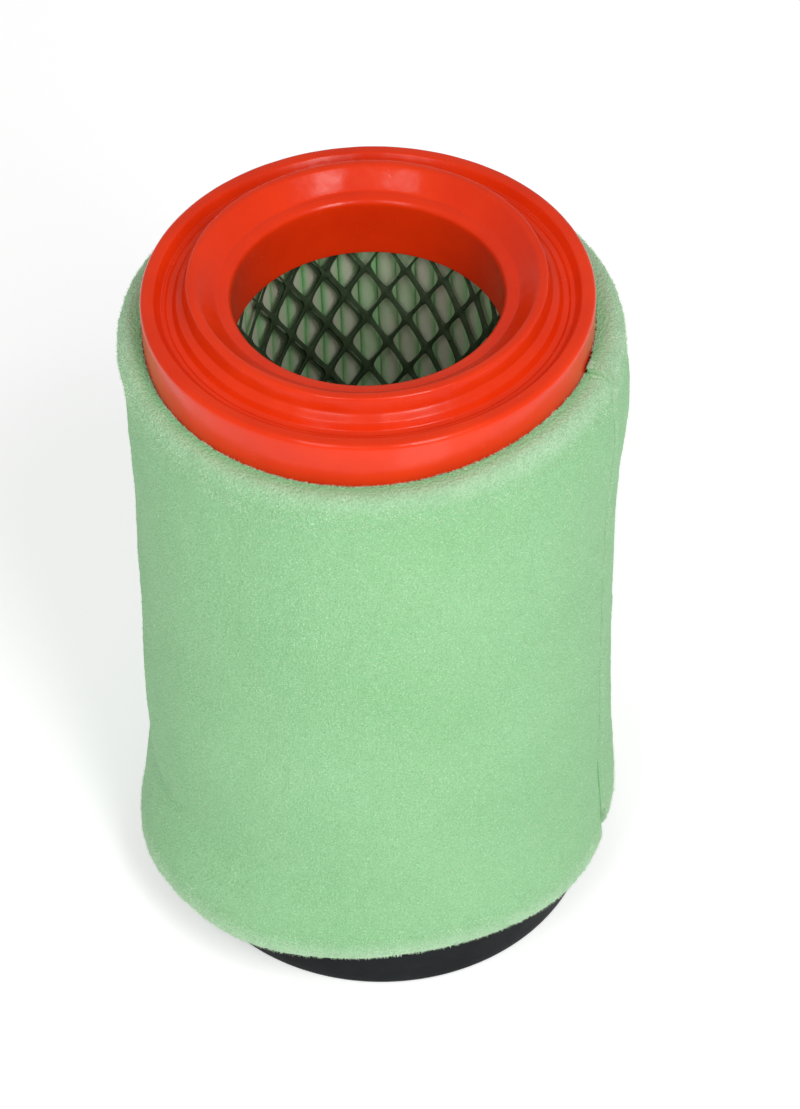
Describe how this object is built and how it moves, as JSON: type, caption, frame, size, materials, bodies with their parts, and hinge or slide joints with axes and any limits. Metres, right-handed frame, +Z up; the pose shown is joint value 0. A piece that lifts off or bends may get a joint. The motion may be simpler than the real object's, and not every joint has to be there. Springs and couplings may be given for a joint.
{
  "type": "air filter cartridge",
  "caption": "Cylindrical air filter cartridge for a small engine: pleated paper round an expanded-metal tube, moulded end caps, foam pre-cleaner sleeve.",
  "frame": {"origin": "centre of the closed end cap's flat underside", "axes": "+Z up along the cartridge axis, from the closed end to the outlet bore; +X to the right of the view that shows the sleeve's seam at -20 degrees"},
  "size_m": [0.1006, 0.1006, 0.1524],
  "materials": {
    "seal_cap": "moulded soft polyurethane, satin with a light gloss",
    "closed_cap": "moulded soft polyurethane, satin",
    "painted_mesh": "thin dark paint on expanded steel",
    "filter_paper": "matte resin-treated paper",
    "hot_melt": "hot-melt glue, semi-matte",
    "foam": "open-cell foam, matte, fuzzy at cut edges",
    "seam_glue": "thin glue line in the foam seam"
  },
  "bodies": {
    "cartridge": {"top_end_cap": "seal_cap", "bottom_end_cap": "closed_cap", "inner_support_tube": "painted_mesh", "pleated_media": "filter_paper", "media_seam_bead": "hot_melt"},
    "precleaner": {"foam_sleeve": "foam", "foam_seam_bond": "seam_glue"}
  },
  "joints": [
    {"name": "sleeve_pull", "type": "slide", "parent": "cartridge", "child": "precleaner", "axis": [0, 0, 1], "range_m": [0, 0.14]}
  ]
}
